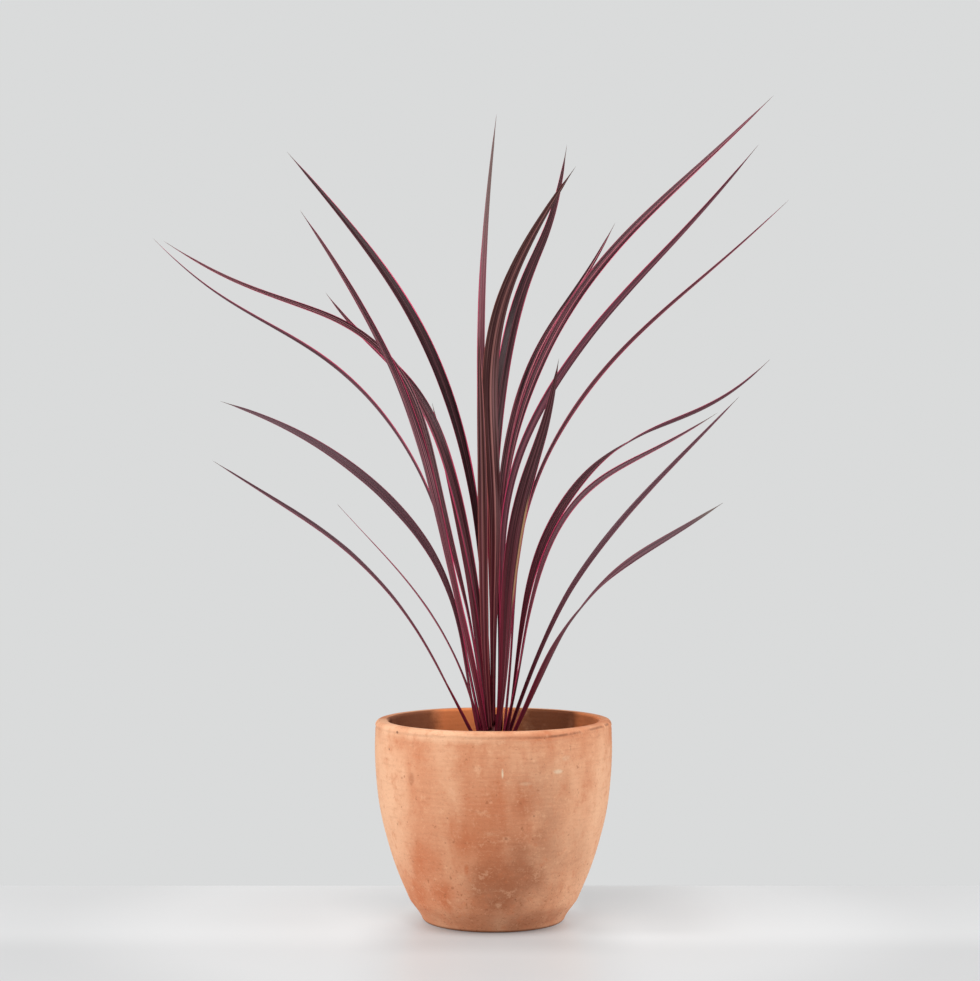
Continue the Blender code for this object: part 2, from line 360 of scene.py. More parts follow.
def turned_mesh(name, profile, turns, shift):
    """A closed turned piece: each ring of the profile is moved by shift(radius, angle, height)."""
    points = [Vector((0, 0, profile[0][1]))]
    faces = []
    for radius, height in profile[1:-1]:
        for turn in range(turns):
            angle = math.tau * turn / turns
            moved, lifted = shift(radius, angle, height)
            points.append(Vector((moved * math.cos(angle), moved * math.sin(angle), lifted)))
    points.append(Vector((0, 0, profile[-1][1])))
    last = len(profile) - 3
    for turn in range(turns):
        after = (turn + 1) % turns
        faces.append((0, 1 + turn, 1 + after))
        for ring in range(last):
            low = 1 + ring * turns
            faces.append((low + turn, low + turns + turn, low + turns + after, low + after))
        faces.append((1 + last * turns + turn, len(points) - 1, 1 + last * turns + after))
    return placed_mesh(name, points, faces)


def pot_shift(radius, angle, height):
    """The hand of the thrower: level ridges, a slightly uneven wall and a chipped lip."""
    spot = Vector((math.cos(angle) * 2.2, math.sin(angle) * 2.2, height * 9))
    uneven = WOBBLE_RELIEF * noise.noise(spot)
    ridge = height / RIDGE_PITCH + 0.4 * noise.noise(spot * 1.7)
    ridged = RIDGE_RELIEF * math.sin(math.tau * ridge) * ease(height / RIDGES_FULL_AT)
    crease = 0
    if radius > OUTER_SIDE_FROM:
        crease = -CREASE_DEPTH * math.exp(-(((height - CREASE_HEIGHT) / CREASE_HALF) ** 2))
    lifted = height
    if height > LIP_ZONE:
        lifted += LIP_WAVE * noise.noise(Vector((math.cos(angle) * 1.6, math.sin(angle) * 1.6, 5)))
        edge = side_radius(POT_HEIGHT - LIP_ROUND)
        for turn, size, depth in CHIPS:
            turned = math.radians(turn)
            middle = Vector((edge * math.cos(turned), edge * math.sin(turned), CHIP_HEIGHT))
            here = Vector((radius * math.cos(angle), radius * math.sin(angle), height))
            bite = depth * MM * math.exp(-(((here - middle).length / (size * MM)) ** 2))
            radius -= bite
            lifted -= bite * CHIP_DROP
    calm = ease(height / RELIEF_FULL_AT)
    return radius + (uneven + ridged + crease) * calm, lifted


inner_top = POT_HEIGHT - LIP_INNER_ROUND
outer_rim = side_radius(POT_HEIGHT - LIP_ROUND)
inner_rim = side_radius(inner_top) - POT_WALL
corner_height = POT_FLOOR + FLOOR_CORNER
floor_centre = (side_radius(corner_height) - POT_WALL - FLOOR_CORNER, corner_height)
profile = [(0, POT_FLOOR), (CENTRE_RING, POT_FLOOR)]
profile += arc(floor_centre, FLOOR_CORNER, 270, 360, 6)
profile += [(side_radius(z) - POT_WALL, z) for z in rings(corner_height, inner_top)[1:-1]]
profile += arc((inner_rim + LIP_INNER_ROUND, inner_top), LIP_INNER_ROUND, 180, 90, 6)
profile += arc((outer_rim - LIP_ROUND, POT_HEIGHT - LIP_ROUND), LIP_ROUND, 90, 0, 9)
side_heights = rings(BASE_CHAMFER, POT_HEIGHT - LIP_ROUND)
profile += [(side_radius(z), z) for z in reversed(side_heights[1:-1])]
foot_radius = side_radius(BASE_CHAMFER)
profile += [(foot_radius, BASE_CHAMFER), (foot_radius - BASE_CHAMFER, 0), (CENTRE_RING, 0), (0, 0)]
pot = turned_mesh("terracotta_pot", profile, POT_TURNS, pot_shift)

clay, tree, surface, place = new_material("terracotta")


def plus(tree, total, *parts):
    """The sum of numbers or sockets."""
    for part in parts:
        total = maths(tree, "ADD", total, part)
    return total


def cloud(scale, detail=3.0, rough=0.55, stretch=(1, 1, 1), shift=(0, 0, 0)):
    """Noise over the material in hand, drawn out along an axis where stretch is under 1."""
    moved = node(tree, "ShaderNodeMapping", {"Vector": place, "Scale": stretch, "Location": shift})
    vector = moved.outputs["Vector"]
    made = node(
        tree,
        "ShaderNodeTexNoise",
        {"Vector": vector, "Scale": scale, "Detail": detail, "Roughness": rough},
    )
    return made.outputs["Fac"]


def off_centre(axis, middle, half):
    """How far a place lies from a middle along an axis, in half widths, with both given in mm."""
    return maths(tree, "DIVIDE", minus(tree, apart[axis], middle * MM), half * MM)


CLAY = srgb(214, 143, 104)
CLAY_PALE = srgb(241, 188, 150)
CLAY_RED = srgb(203, 116, 74)
CLAY_LIT = srgb(246, 142, 84)
CLAY_SHADED = srgb(134, 76, 48)
CLAY_BROWN = srgb(164, 96, 62)
CLAY_DEEP_SHADE = srgb(112, 54, 22)
CLAY_WHITE = srgb(238, 212, 180)
CLAY_DIRT_AND_SHADE = srgb(110, 66, 46)
# Clouds and scuffs on the front, with painted light and shade among them: the tall pale strips near
# the left and right edges are painted light, the pale band along the lip at the left is a painted
# highlight, and the brown patches low in the middle are painted shade. Each gives place across and
# height, half width and half height in mm, colour and strength.
CLOUDS_AND_PAINTED_LIGHT = (
    (-106, 120, 20, 95, CLAY_PALE, 0.95),
    (-70, 75, 26, 52, CLAY_RED, 0.45),
    (-62, 132, 22, 34, CLAY, 0.5),
    (-46, 36, 22, 17, CLAY_RED, 0.9),
    (8, 50, 40, 30, CLAY_BROWN, 0.7),
    (20, 74, 34, 40, CLAY_BROWN, 0.35),
    (4, 16, 60, 22, CLAY_BROWN, 0.35),
    (6, 112, 40, 60, CLAY_RED, 0.45),
    (-64, 70, 13, 22, CLAY_RED, 0.35),
    (92, 84, 14, 56, CLAY_PALE, 0.5),
    (44, 140, 30, 34, CLAY_BROWN, 0.3),
    (54, 78, 18, 46, CLAY_BROWN, 0.34),
    (80, 74, 14, 34, CLAY_BROWN, 0.25),
    (26, 76, 15, 18, CLAY_BROWN, 0.45),
    (-32, 44, 12, 30, CLAY_PALE, 0.35),
    (-90, 74, 13, 42, CLAY_PALE, 0.6),
    (84, 152, 12, 22, CLAY_PALE, 0.35),
    (40, 12, 34, 12, CLAY_BROWN, 0.4),
    (108, 130, 14, 62, CLAY_PALE, 0.75),
    (-50, 195, 62, 8, CLAY_PALE, 0.9),
    (46, 194, 44, 5, CLAY_RED, 0.5),
    (-79, 152, 3, 7, CLAY_BROWN, 0.5),
    (-26, 66, 2.6, 6, CLAY_RED, 0.8),
    (-93, 194, 1.2, 1.6, CLAY_DIRT_AND_SHADE, 0.9),
    (8.3, 160, 1.0, 4.6, CLAY_WHITE, 1.0),
    (61, 160, 5.0, 2.4, CLAY_WHITE, 0.75),
    (70, 172, 4.5, 3.0, CLAY_WHITE, 0.3),
    (30, 150, 6.0, 2.0, CLAY_WHITE, 0.25),
)
# Painted light and shade on the wall inside, at the back over the soil: a broad lit patch left of
# the middle and a small one at the far right, with painted shade at the left and at the right. Each
# gives place across and half width in mm, colour and strength.
PAINTED_LIGHT_INSIDE = (
    (-26, 50, CLAY_LIT, 0.95),
    (-84, 24, CLAY_SHADED, 0.95),
    (60, 34, CLAY_DEEP_SHADE, 0.95),
    (98, 12, CLAY_LIT, 0.7),
)

apart = node(tree, "ShaderNodeSeparateXYZ", {"Vector": place}).outputs
level = node(tree, "ShaderNodeCombineXYZ", {"X": apart["X"], "Y": apart["Y"]}).outputs[0]
from_axis = length_of(tree, level)
front = ramp(tree, apart["Y"], 0.02, -0.02)
inside = times(
    tree,
    ramp(tree, from_axis, 0.1085, 0.1065),
    ramp(tree, apart["Y"], -0.02, 0.02),
    ramp(tree, apart["Z"], 0.15, 0.155),
)
ragged = times(tree, minus(tree, cloud(48, 4.0, 0.62), 0.5), 2.0)
broad = cloud(13, 3.0, 0.6, (1, 1, 0.45))
redder = cloud(22, 4.0, 0.6, (1, 1, 0.4), (3, 1, 0))
colour = tinted(tree, ramp(tree, broad, 0.38, 0.66, 0, 0.7), CLAY, CLAY_PALE)
colour = tinted(tree, ramp(tree, redder, 0.5, 0.72, 0, 0.75), colour, CLAY_RED)
# Clouds and scuffs on the front, and the painted light and shade among them.
for across, height, half, tall, shade, strength in CLOUDS_AND_PAINTED_LIGHT:
    wide, high = off_centre("X", across, half), off_centre("Z", height, tall)
    reach = plus(tree, times(tree, wide, wide), times(tree, high, high), ragged)
    mask = times(tree, ramp(tree, reach, 1.5, -0.1, 0, strength), front)
    colour = tinted(tree, mask, colour, shade)
brushed = cloud(60, 4.0, 0.7, (0.6, 0.6, 4.0))
mottled = cloud(95, 5.0, 0.72)
grain = cloud(420, 3.0, 0.7)
for pattern, start, end, strength, shade in (
    (brushed, 0.5, 0.75, 0.2, CLAY_BROWN),
    (brushed, 0.42, 0.2, 0.2, CLAY_PALE),
    (mottled, 0.52, 0.7, 0.42, CLAY_RED),
    (mottled, 0.46, 0.3, 0.42, CLAY_PALE),
    (grain, 0.54, 0.8, 0.4, CLAY_PALE),
    (grain, 0.46, 0.24, 0.3, CLAY_BROWN),
    (cloud(170, 2.0, 0.6), 0.66, 0.76, 0.55, CLAY_BROWN),
):
    colour = tinted(tree, ramp(tree, pattern, start, end, 0, strength), colour, shade)
# Painted light and shade on the wall inside.
for across, half, shade, strength in PAINTED_LIGHT_INSIDE:
    wide = off_centre("X", across, half)
    reach = plus(tree, times(tree, wide, wide), ragged)
    mask = times(tree, ramp(tree, reach, 2.1, 0.2, 0, strength), inside)
    colour = tinted(tree, mask, colour, shade)
low_down = ramp(tree, plus(tree, apart["Z"], times(tree, ragged, 0.03)), 0.1, 0.02, 0.1, 0.75)
soiled = times(tree, ramp(tree, cloud(330, 4.0, 0.75), 0.58, 0.66), low_down)
colour = tinted(tree, soiled, colour, CLAY_BROWN)
speck = node(tree, "ShaderNodeTexVoronoi", {"Vector": place, "Scale": 46.0, "Randomness": 1.0})
speckled = ramp(tree, speck.outputs["Distance"], 0.07, 0.02, 0, 0.7)
colour = tinted(tree, speckled, colour, CLAY_DIRT_AND_SHADE)
# Painted shade in the crease under the lip at the right of the front, and along the foot.
crease_line = ramp(tree, apart["X"], 0.04, 0.118, CREASE_HEIGHT, CREASE_HEIGHT + CREASE_CLIMB)
crease_gap = maths(tree, "ABSOLUTE", minus(tree, apart["Z"], crease_line))
crease = times(
    tree,
    ramp(tree, crease_gap, 1.9 * MM, 0.1 * MM),
    ramp(tree, cloud(60, 3.0), 0.4, 0.56),
    ramp(tree, apart["X"], 0.02, 0.06, 0.1, 0.55),
    front,
)
colour = tinted(tree, crease, colour, CLAY_DIRT_AND_SHADE)
# Painted shade along the foot, where the pot meets the table.
colour = tinted(tree, ramp(tree, apart["Z"], 3.2 * MM, 0.4 * MM, 0, 0.65), colour, CLAY_DIRT_AND_SHADE)
tree.links.new(colour, surface.inputs["Base Color"])
tree.links.new(ramp(tree, grain, 0.3, 0.8, 0.72, 0.92), surface.inputs["Roughness"])
surface.inputs["Specular IOR Level"].default_value = 0.3
relief = plus(tree, times(tree, grain, 0.6), times(tree, brushed, 0.8))
bumped(tree, surface, relief, 0.5, 0.6 * MM)
pot.data.materials.append(clay)
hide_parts("pot")
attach(pot, "root")


# The soil: dark potting mix of peat, loam and bits of bark, filled to about 37 mm under the rim and
# left loose. Crumbs of several sizes lie on it, and its lumps die away towards the stem.

SOIL_TOP = 162 * MM
SOIL_BOTTOM = POT_FLOOR + 0.4 * MM
SOIL_GAP = 0.6 * MM
SOIL_RELIEF = 3 * MM
SOIL_CALM_RADIUS = 22 * MM
SOIL_SIDE_HEIGHTS = (145 * MM, 120 * MM, 95 * MM, 70 * MM, 45 * MM)
SOIL_TURNS = 160
SOIL_RINGS = 56
LUMP_SIZE = 16 * MM
CRUMBLE_SIZE = 3.2 * MM
CRUMBLE_RELIEF = 0.8 * MM
TINY = 0.1 * MM
HOLE_RADIUS = 13 * MM
HOLE_BOTTOM = 121.6 * MM
SOIL_CORNER = 11 * MM
CRUMBS_PER_AREA = 42000.0
CRUMB_SIZE = 1.5 * MM
# Least and most of a crumb's three half sizes, as shares of the crumb size.
CRUMB_LEAST = (0.35, 0.3, 0.25)
CRUMB_MOST = (1.5, 1.0, 0.8)
CRUMB_SEED = 4
TURN_SEED = 7
CRUMBS_FROM = SOIL_TOP - 4 * MM
PEAT = srgb(46, 34, 27)
LOAM = srgb(82, 60, 45)
BARK_BITS = srgb(112, 84, 62)
PALE_BITS = srgb(150, 124, 98)


def soil_shift(radius, angle, height):
    """Lumps and hollows of the top, with finer crumbling over them."""
    if abs(height - SOIL_TOP) > TINY or radius < HOLE_RADIUS + TINY:
        return radius, height
    spot = Vector((radius * math.cos(angle), radius * math.sin(angle), SOIL_TOP))
    calm = ease((radius - SOIL_CALM_RADIUS) / SOIL_CALM_RADIUS)
    lump = SOIL_RELIEF * calm * noise.fractal(spot / LUMP_SIZE, 0.8, 2.0, 3)
    crumble = CRUMBLE_RELIEF * noise.fractal(spot / CRUMBLE_SIZE, 0.9, 2.1, 3)
    return radius, height + lump + crumble


corner_height = SOIL_BOTTOM + SOIL_CORNER
soil_off_side = POT_WALL + SOIL_GAP
soil_edge = side_radius(SOIL_TOP) - soil_off_side
soil_centre = (side_radius(corner_height) - soil_off_side - SOIL_CORNER, corner_height)
soil_steps = [blend(HOLE_RADIUS, soil_edge, k / SOIL_RINGS) for k in range(SOIL_RINGS + 1)]
profile = [(0, HOLE_BOTTOM), (HOLE_RADIUS, HOLE_BOTTOM)]
profile += [(radius, SOIL_TOP) for radius in soil_steps]
profile += [(side_radius(z) - soil_off_side, z) for z in SOIL_SIDE_HEIGHTS]
profile += arc(soil_centre, SOIL_CORNER, 0, -90, 5)
profile += [(0, SOIL_BOTTOM)]
soil = turned_mesh("potting_soil", profile, SOIL_TURNS, soil_shift)

earth, tree, surface, place = new_material("potting_soil")
colour = tinted(tree, ramp(tree, cloud(60, 4.0, 0.7), 0.35, 0.7), PEAT, LOAM)
colour = tinted(tree, ramp(tree, cloud(260, 3.0, 0.7), 0.5, 0.75), colour, BARK_BITS)
colour = tinted(tree, ramp(tree, cloud(700, 2.0, 0.7), 0.64, 0.8, 0, 0.7), colour, PALE_BITS)
tree.links.new(colour, surface.inputs["Base Color"])
surface.inputs["Roughness"].default_value = 0.95
surface.inputs["Specular IOR Level"].default_value = 0.2
bumped(tree, surface, cloud(520, 4.0, 0.8), 0.8, 0.8 * MM)


def input_sockets(tree, sockets):
    """Named inputs of a node tree, each from its name, its kind of data and its value."""
    for name, kind, value in sockets:
        made = tree.interface.new_socket(name, in_out="INPUT", socket_type=f"NodeSocket{kind}")
        if value is not None:
            made.default_value = value


def growing_tree(name, *sockets):
    """A Geometry Nodes tree with named inputs after its geometry, and what its inputs give."""
    made = bpy.data.node_groups.new(name, "GeometryNodeTree")
    made.is_modifier = True
    made.interface.new_socket("Geometry", in_out="OUTPUT", socket_type="NodeSocketGeometry")
    input_sockets(made, (("Geometry", "Geometry", None), *sockets))
    return made, made.nodes.new("NodeGroupInput").outputs


def field_of(tree, kind):
    """A vector that the mesh holds at each point, such as its position."""
    return tree.nodes.new(f"GeometryNodeInput{kind}").outputs[0]


def vector_maths(tree, operation, first, second):
    """The output of a Vector Math node, with a number for its second value where it scales."""
    made = node(tree, "ShaderNodeVectorMath", operation=operation)
    feed(tree, made.inputs[0], first)
    feed(tree, made.inputs["Scale"] if operation == "SCALE" else made.inputs[1], second)
    return made.outputs[0]


def send_out(tree, geometry, material):
    """Ends a tree: its geometry is given the material and goes out."""
    made = node(tree, "GeometryNodeSetMaterial", {"Geometry": geometry, "Material": material})
    tree.links.new(made.outputs[0], tree.nodes.new("NodeGroupOutput").inputs[0])


def grown(piece, tree, values):
    """The piece's plain mesh, as the tree makes it with its inputs set by socket identifier."""
    modifier = piece.modifiers.new("grow", "NODES")
    modifier.node_group = tree
    for item in tree.interface.items_tree:
        if item.item_type == "SOCKET" and item.in_out == "INPUT" and item.name in values:
            modifier[item.identifier] = values[item.name]
    graph = bpy.context.evaluated_depsgraph_get()
    graph.update()
    mesh = bpy.data.meshes.new_from_object(piece.evaluated_get(graph))
    piece.modifiers.remove(modifier)
    mesh.name = piece.name
    piece.data = mesh
    return piece


crumbs, given = growing_tree(
    "Loose crumbs",
    ("Crumbs per area", "Float", 1000.0),
    ("Crumb size", "Float", 0.001),
    ("Top above", "Float", 0.0),
    ("Seed", "Int", 1),
    ("Finish", "Material", None),
)
high = node(crumbs, "ShaderNodeSeparateXYZ", {"Vector": field_of(crumbs, "Position")})
facing = node(crumbs, "ShaderNodeSeparateXYZ", {"Vector": field_of(crumbs, "Normal")})
on_top = times(
    crumbs,
    maths(crumbs, "GREATER_THAN", high.outputs["Z"], given["Top above"]),
    maths(crumbs, "GREATER_THAN", facing.outputs["Z"], 0.3),
)
scatter = node(
    crumbs,
    "GeometryNodeDistributePointsOnFaces",
    {
        "Mesh": given["Geometry"],
        "Selection": on_top,
        "Density": given["Crumbs per area"],
        "Seed": given["Seed"],
    },
    distribute_method="RANDOM",
)
crumb = node(crumbs, "GeometryNodeMeshIcoSphere", {"Radius": 1.0, "Subdivisions": 2})
size = node(
    crumbs,
    "FunctionNodeRandomValue",
    {"Min": CRUMB_LEAST, "Max": CRUMB_MOST, "Seed": given["Seed"]},
    data_type="FLOAT_VECTOR",
)
turn = node(
    crumbs,
    "FunctionNodeRandomValue",
    {"Min": (0.0, 0.0, 0.0), "Max": (math.tau, math.tau, math.tau), "Seed": TURN_SEED},
    data_type="FLOAT_VECTOR",
)
laid = node(
    crumbs,
    "GeometryNodeInstanceOnPoints",
    {
        "Points": scatter.outputs["Points"],
        "Instance": crumb.outputs["Mesh"],
        "Rotation": turn.outputs[0],
        "Scale": vector_maths(crumbs, "SCALE", size.outputs[0], given["Crumb size"]),
    },
)
real = node(crumbs, "GeometryNodeRealizeInstances", {"Geometry": laid.outputs["Instances"]})
rough = node(crumbs, "ShaderNodeTexNoise", {"Scale": 900.0, "Detail": 1.0})
push = vector_maths(crumbs, "SUBTRACT", rough.outputs["Color"], (0.5, 0.5, 0.5))
push = vector_maths(crumbs, "SCALE", push, given["Crumb size"])
moved = node(
    crumbs, "GeometryNodeSetPosition", {"Geometry": real.outputs["Geometry"], "Offset": push}
)
joined = node(crumbs, "GeometryNodeJoinGeometry")
crumbs.links.new(moved.outputs["Geometry"], joined.inputs["Geometry"])
crumbs.links.new(given["Geometry"], joined.inputs["Geometry"])
send_out(crumbs, joined.outputs["Geometry"], given["Finish"])
grown(
    soil,
    crumbs,
    {
        "Crumbs per area": CRUMBS_PER_AREA,
        "Crumb size": CRUMB_SIZE,
        "Top above": CRUMBS_FROM,
        "Seed": CRUMB_SEED,
        "Finish": earth,
    },
)
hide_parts("soil")
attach(soil, "root")


# The stem: the short woody base of the plant, ringed with the scars of leaves that have dropped. It
# stands in the soil and tapers up between the leaf bases.

STEM_RADIUS = 12.6 * MM
STEM_TIP_RADIUS = 3 * MM
STEM_TAPER_START = 162 * MM
STEM_TOP = 204 * MM
STEM_SINK = 40 * MM
STEM_TURNS = 72
SCAR_PITCH = 2.3 * MM
SCAR_RELIEF = 0.12 * MM
STEM_RING = 0.5 * MM
STEM_SHOULDER = 1 * MM
BARK_BROWN = srgb(98, 66, 52)
BARK_TAN = srgb(142, 108, 86)
SCAR_BROWN = srgb(66, 42, 36)
STEM_PINK = srgb(150, 60, 74)
STEM_PINK_FROM = 178 * MM
STEM_PINK_TO = 200 * MM


def stem_radius(height):
    """Radius of the tapering part of the stem."""
    share = (height - STEM_TAPER_START) / (STEM_TOP - STEM_TAPER_START)
    return blend(STEM_RADIUS, STEM_TIP_RADIUS, min(max(share, 0), 1))


def stem_shift(radius, angle, height):
    """Scars in steps round the stem, a little out of level."""
    step = (height / SCAR_PITCH + 0.3 * math.sin(2 * angle)) % 1
    return radius - (SCAR_RELIEF * (1 - step) if height > SOIL_TOP else 0), height


stem_foot = SOIL_TOP - STEM_SINK
stem_rings = round((STEM_TOP - STEM_TAPER_START) / STEM_RING)
profile = [(0, STEM_TOP), (STEM_TIP_RADIUS * 0.7, STEM_TOP)]
profile += [(stem_radius(z), z) for z in (STEM_TOP - k * STEM_RING for k in range(1, stem_rings))]
profile += [(STEM_RADIUS, z) for z in (STEM_TAPER_START - STEM_SHOULDER, stem_foot)]
profile += [(0, stem_foot)]
stem = turned_mesh("woody_stem", profile, STEM_TURNS, stem_shift)
bark, tree, surface, place = new_material("stem_bark")
rise = node(tree, "ShaderNodeSeparateXYZ", {"Vector": place}).outputs["Z"]
colour = tinted(tree, ramp(tree, cloud(90, 4.0, 0.7), 0.35, 0.7), BARK_BROWN, BARK_TAN)
scarred = ramp(tree, cloud(60, 2.0, 0.6, (1, 1, 7)), 0.5, 0.62, 0, 0.6)
colour = tinted(tree, scarred, colour, SCAR_BROWN)
colour = tinted(tree, ramp(tree, rise, STEM_PINK_FROM, STEM_PINK_TO), colour, STEM_PINK)
tree.links.new(colour, surface.inputs["Base Color"])
surface.inputs["Roughness"].default_value = 0.8
bumped(tree, surface, cloud(380, 4.0, 0.7, (1, 1, 0.3)), 0.6, 0.6 * MM)
stem.data.materials.append(bark)
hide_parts("stem")
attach(stem, "root")


# The leaves: long leathery straps that grow round the stem, folded into a shallow gutter and drawn
# out to a thread-like tip. Each has fine parallel veins, a keeled midrib and pink margins, and some
# are paler beneath than on the side that faces the sky.

BLADE_THICKNESS = 0.9 * MM
THINNED_TO = 0.3
BLADE_ROWS = 120
BLADE_COLUMNS = 72
FOOT_WIDTH = 3.75 * MM
FOOT_WIDTH_PER_STEM_RADIUS = 0.33
TIP_WIDTH = 1.1 * MM
WIDEST_AT = 0.55
TIP_DRAW = 1.7
TIP_POINT_FROM = 0.94
TIP_POINT_SHARE = 0.25
FOOT_FOLD = 38
BLADE_FOLD = 13
FOLD_OPENS_BY = 0.3
TURN_DONE_BY = 0.3
FIRST_FOOT = 163.5 * MM
FOOT_STEP = 1.6 * MM
FOOT_GAP = 0.35 * MM
FOLD_SOFTNESS = 0.008
KEEL_SHARPNESS = -90.0
RIPPLES = 7.0
MERGE_WITHIN = 0.002 * MM

# One row a leaf, from the lowest and outermost up to the innermost. Angles in degrees, sizes in mm.
# seat, heading, length, leans, rolls and width are the leaf's form, as in the plain solids. top and
# under are its colours on its two sides, edges the strength of the pink on its first and second
# margin, rib that of the midrib, lines that of the parallel streaks, dry the length of its withered
# tip in mm, and the last the share of the length over which the painted shade at its foot, where
# the leaves crowd each other, turns into its own colour.
Leaf = namedtuple(
    "Leaf", "seat heading length leans rolls width slot top under edges rib lines dry deep"
)
WINE = (80, 42, 50)
BROWN = (78, 44, 45)
# Painted shade deepens this dark wine, given to the leaves in the heart of the bundle.
SHADED_WINE = (56, 28, 32)
MAUVE = (124, 82, 95)
ROSE = (172, 118, 126)
ASH = (102, 72, 76)
SLATE = (116, 98, 102)
OLIVE = (92, 60, 55)
DOVE = (138, 114, 120)
LEAVES = (
    Leaf(212, 200, 410, (29, 29, 43, 57, 58), (-20, -30, -40, -40), 10,
         "leaf_maroon", SLATE, SLATE, (0.4, 0.3), 0.1, 0.2, 14, 0.5),
    Leaf(332, 334, 350, (27, 26, 42, 59, 58), (-25, 20, 60, 70), 11,
         "leaf_mauve", SLATE, SLATE, (0.2, 0.3), 0.1, 0.3, 34, 0.5),
    Leaf(156, 170, 295, (8, 21, 34, 43, 43), (0, 5, 10, 10), 7,
         "leaf_mauve", ROSE, ROSE, (0.6, 0.6), 0.2, 0.4, 14, 0.5),
    Leaf(28, 4, 435, (21, 23, 37, 44, 44), (25, 35, 35, 35), 9,
         "leaf_maroon", DOVE, DOVE, (0.3, 0.2), 0.1, 0.2, 16, 0.5),
    Leaf(188, 188, 465, (12, 11, 38, 57, 72), (-25, -55, -65, -60), 12,
         "leaf_maroon", SLATE, SLATE, (0.3, 0.3), 0.1, 0.3, 16, 0.5),
    Leaf(2, 12, 520, (9, 9, 36, 68, 46), (25, 40, -30, -45), 12,
         "leaf_maroon", ASH, MAUVE, (0.9, 0.9), 0.2, 0.4, 20, 0.5),
    Leaf(240, 222, 572, (20, 17, 19, 34, 42), (-10, -15, -10, 0), 20,
         "leaf_mauve", BROWN, (92, 60, 66), (1.1, 2.4), 0.3, 1.2, 12, 0.5),
    Leaf(328, 352, 420, (16, 10, 25, 61, 57), (20, 35, 40, 35), 11,
         "leaf_maroon", SLATE, (96, 72, 78), (0.9, 0.8), 0.2, 0.3, 24, 0.6),
    Leaf(285, 296, 405, (26, 7, 18, 35, 18), (0, 0, 0, 0), 18,
         "leaf_maroon", BROWN, BROWN, (0.8, 0.5), 0.1, 0.5, 10, 0.6),
    Leaf(165, 168, 657, (13, 11, 36, 61, 45), (20, 30, 30, 25), 10,
         "leaf_mauve", WINE, (116, 80, 90), (0.8, 0.6), 0.2, 0.4, 14, 0.6),
    Leaf(350, 350, 635, (6, 5, 31, 49, 47), (20, 30, 30, 30), 11,
         "leaf_mauve", WINE, MAUVE, (0.8, 0.7), 0.3, 0.4, 16, 0.5),
    Leaf(215, 204, 642, (6, 15, 19, 72, 59), (-50, -60, -40, -45), 14,
         "leaf_maroon", BROWN, ASH, (0.9, 0.9), 0.2, 1.0, 14, 0.5),
    Leaf(108, 112, 383, (30, 18, 27, 33, 30), (0, 0, 0, 0), 9,
         "leaf_maroon", BROWN, BROWN, (0.3, 0.3), 0.1, 0.2, 16, 0.5),
    Leaf(312, 328, 669, (4, 1, 33, 48, 44), (-15, -20, -20, -20), 11,
         "leaf_mauve", MAUVE, MAUVE, (0.8, 0.8), 0.3, 0.6, 16, 0.55),
    Leaf(137, 129, 576, (1, 14, 28, 58, 50), (0, -15, -15, -10), 13,
         "leaf_maroon", SHADED_WINE, WINE, (0.9, 1.0), 0.2, 0.45, 18, 0.6),
    Leaf(354, 14, 752, (0, 2, 25, 46, 46), (0, 30, 45, 40), 13,
         "leaf_maroon", WINE, (112, 74, 84), (0.7, 0.9), 0.7, 0.8, 18, 0.8),
    Leaf(242, 264, 400, (8, 10, 6, 12, 17), (0, 0, 0, 0), 10,
         "leaf_olive", OLIVE, OLIVE, (0.6, 0.6), 0.6, 0.8, 8, 0.4),
    Leaf(187, 152, 665, (0, 5, 21, 39, 44), (-10, -35, -40, -35), 13,
         "leaf_maroon", SHADED_WINE, SHADED_WINE, (0.3, 1.2), 0.05, 0.12, 18, 0.7),
    Leaf(48, 53, 597, (5, -1, 20, 46, 40), (0, 0, 0, 0), 14,
         "leaf_maroon", SHADED_WINE, SHADED_WINE, (0.6, 0.6), 1.0, 0.7, 18, 0.5),
    Leaf(268, 297, 612, (4, 3, -5, 45, 60), (0, 0, 0, 0), 18,
         "leaf_olive", OLIVE, OLIVE, (0.5, 0.5), 0.7, 0.5, 16, 0.6),
    Leaf(92, 71, 708, (0, -1, 25, 51, 25), (0, 0, 0, 0), 15,
         "leaf_maroon", SHADED_WINE, SHADED_WINE, (1.0, 0.5), 0.1, 0.2, 24, 0.8),
    Leaf(143, 124, 524, (3, 4, 1, -1, -12), (0, 0, 0, 0), 5,
         "leaf_maroon", SHADED_WINE, SHADED_WINE, (0.4, 0.4), 0.1, 0.1, 12, 0.7),
    Leaf(222, 185, 606, (1, 2, 1, -3, -7), (-45, -65, -70, -60), 9,
         "leaf_mauve", ROSE, ROSE, (0.7, 0.4), 0.3, 0.8, 150, 0.4),
)


def direction(leaf, share):
    """Where the midrib points at a share of its length, as (along, level, upper) vectors."""
    turn = math.radians((leaf.heading - leaf.seat) * ease(share / TURN_DONE_BY))
    lean = math.radians(spread(leaf.leans, share))
    reach = math.sin(lean)
    along = Vector((reach * math.cos(turn), reach * math.sin(turn), math.cos(lean)))
    level = Vector((-math.sin(turn), math.cos(turn), 0))
    return along, level, along.cross(level)


def blade_width(share, foot, widest):
    """Width of a blade: narrow at the foot, widest past the middle, drawn out to a point."""
    opened = blend(foot, widest, ease(share / WIDEST_AT))
    closing = max(share - WIDEST_AT, 0) / (1 - WIDEST_AT)
    drawn = blend(opened, TIP_WIDTH, closing**TIP_DRAW)
    pointed = ease((share - TIP_POINT_FROM) / (1 - TIP_POINT_FROM))
    return drawn * blend(1, TIP_POINT_SHARE, pointed)


